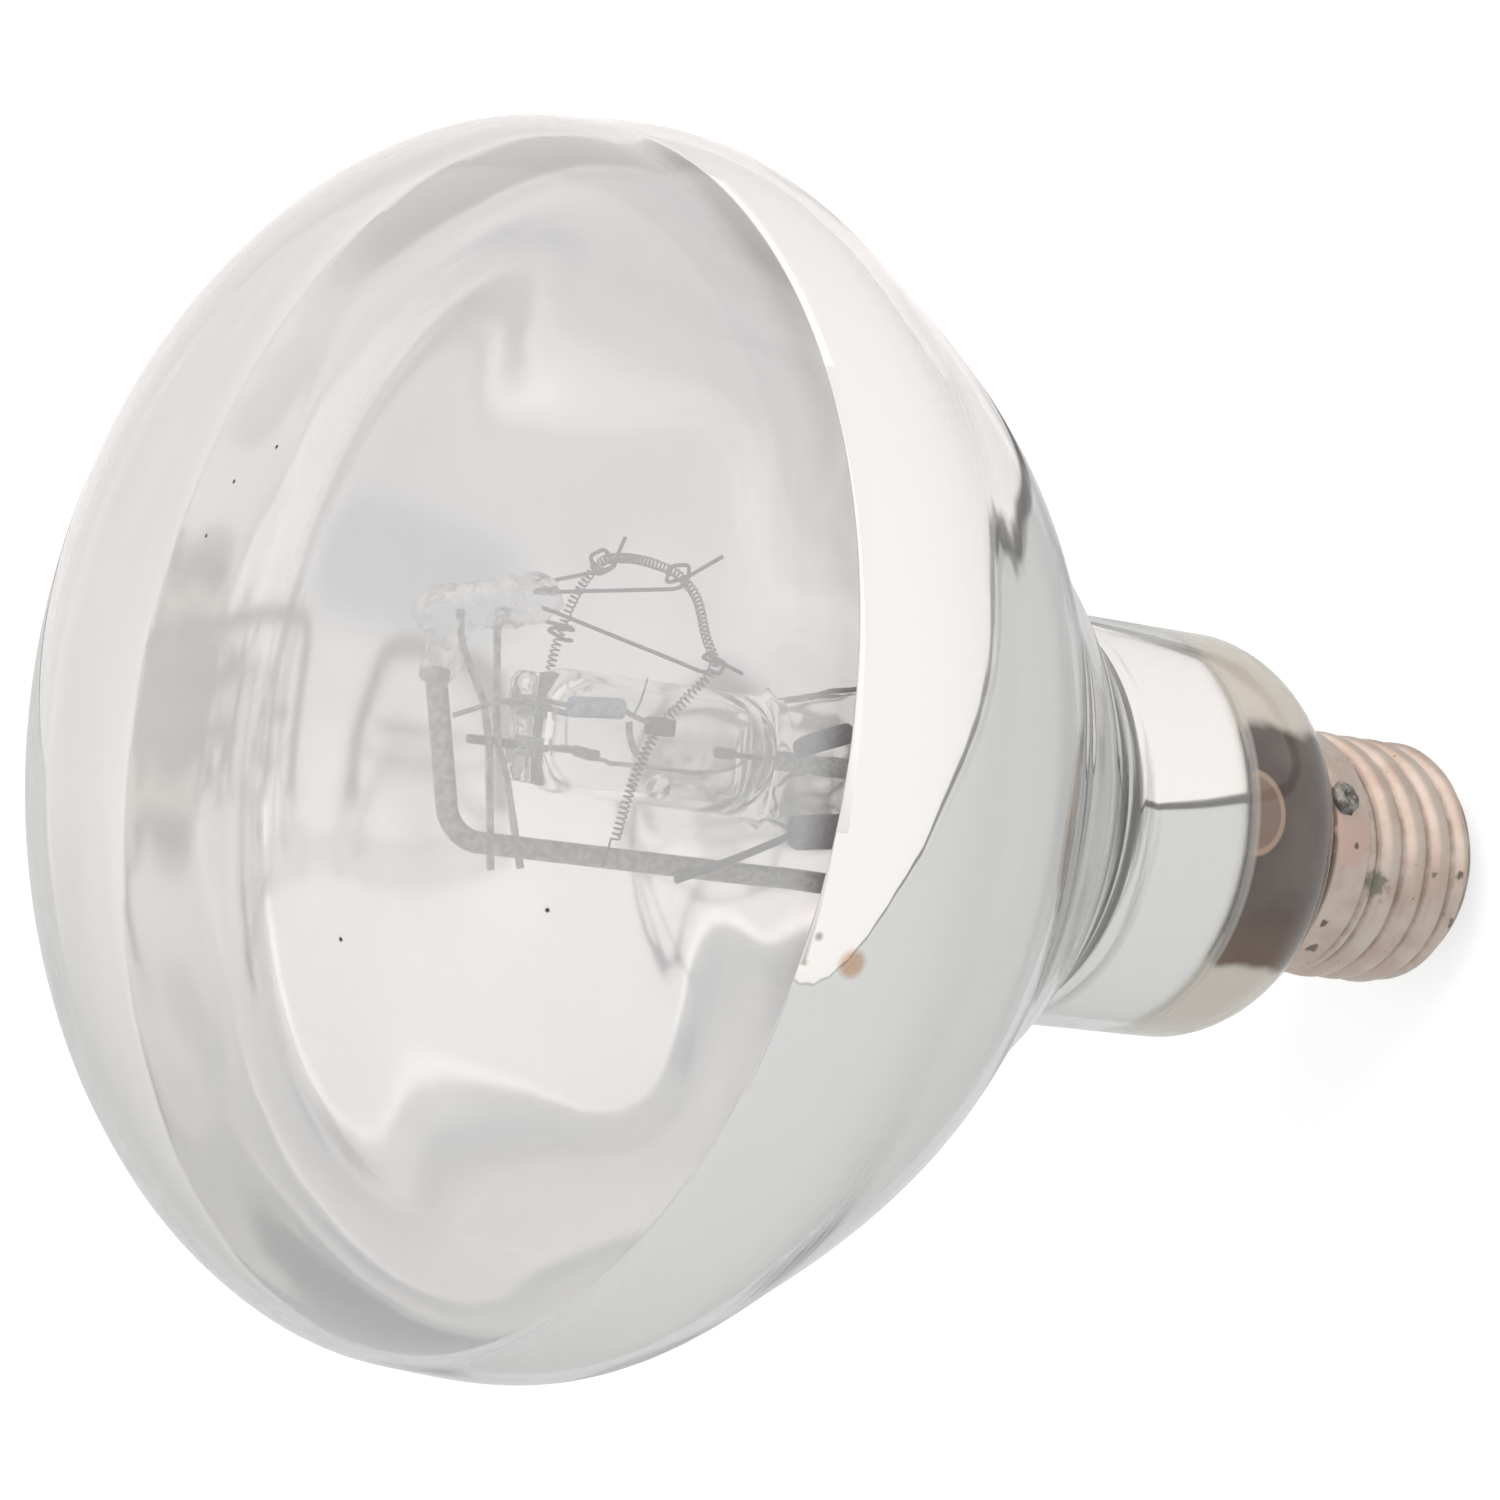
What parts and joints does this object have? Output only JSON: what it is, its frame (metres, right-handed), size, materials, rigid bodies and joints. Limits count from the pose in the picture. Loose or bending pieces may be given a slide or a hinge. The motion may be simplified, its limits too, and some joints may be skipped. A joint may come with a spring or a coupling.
{
  "type": "uvb basking lamp",
  "caption": "Reflector basking bulb with clear domed face, mirrored cone, screw cap, and a quartz arc tube ringed by a coiled ballast filament inside.",
  "frame": {"origin": "end face of the centre contact, on the axis of the cap", "axes": "+Z along the lamp axis towards the glass face, -Y towards the side from which the picture was taken"},
  "size_m": [0.1202, 0.1202, 0.161],
  "materials": {
    "glass": "clear blown glass",
    "mirror": "vacuum-coated aluminium seen through glass",
    "cap_metal": "nickelled brass sheet, worn and pitted",
    "cap_glass": "black pressed glass",
    "contact_metal": "stamped, tarnished",
    "solder": "dull tin solder",
    "cement": "baked capping cement",
    "stem_glass": "clear lead-free glass",
    "nickel": "drawn nickel wire, slightly oxidised",
    "quartz": "clear fused quartz",
    "molybdenum": "rolled foil",
    "tungsten": "drawn tungsten",
    "bead_glass": "fused glass, wrinkled",
    "resistor_body": "grey glazed ceramic",
    "sleeve": "dark fired ceramic sleeve",
    "strap_metal": "thin nickel strip"
  },
  "bodies": {
    "root": {"arc_tube": "quartz", "cap_insulator": "cap_glass", "capping_cement": "cement", "centre_contact": "contact_metal", "centre_lead_in": "nickel", "contact_solder": "solder", "crimp_ribbon": "strap_metal", "crimp_wire": "nickel", "exhaust_tube": "stem_glass", "filament": "tungsten", "filament_crimp": "nickel", "filament_hook_left": "tungsten", "filament_hook_lower": "tungsten", "filament_hook_top": "tungsten", "filament_hook_upper": "tungsten", "filament_return_wire": "nickel", "frame_rod": "nickel", "front_electrode": "tungsten", "front_lead_wire": "tungsten", "front_seal_foil": "molybdenum", "glass_envelope": "glass", "lead_sleeve": "sleeve", "mirror_coating": "mirror", "probe_lead_wire": "nickel", "probe_seal_foil": "molybdenum", "rear_arch_wire": "nickel", "rear_electrode": "tungsten", "rear_lead_wire": "tungsten", "rear_resistor": "sleeve", "rear_resistor_wire": "nickel", "rear_seal_foil": "molybdenum", "resistor_front_wire": "nickel", "resistor_rear_wire": "nickel", "screw_shell": "cap_metal", "side_lead_in": "nickel", "side_solder": "solder", "sleeve_lead": "nickel", "sleeve_tail": "nickel", "starting_electrode": "tungsten", "starting_resistor": "resistor_body", "stem": "stem_glass", "stem_collar": "strap_metal", "strap_front": "strap_metal", "strap_rear": "strap_metal", "support_bead": "bead_glass"}
  },
  "joints": []
}
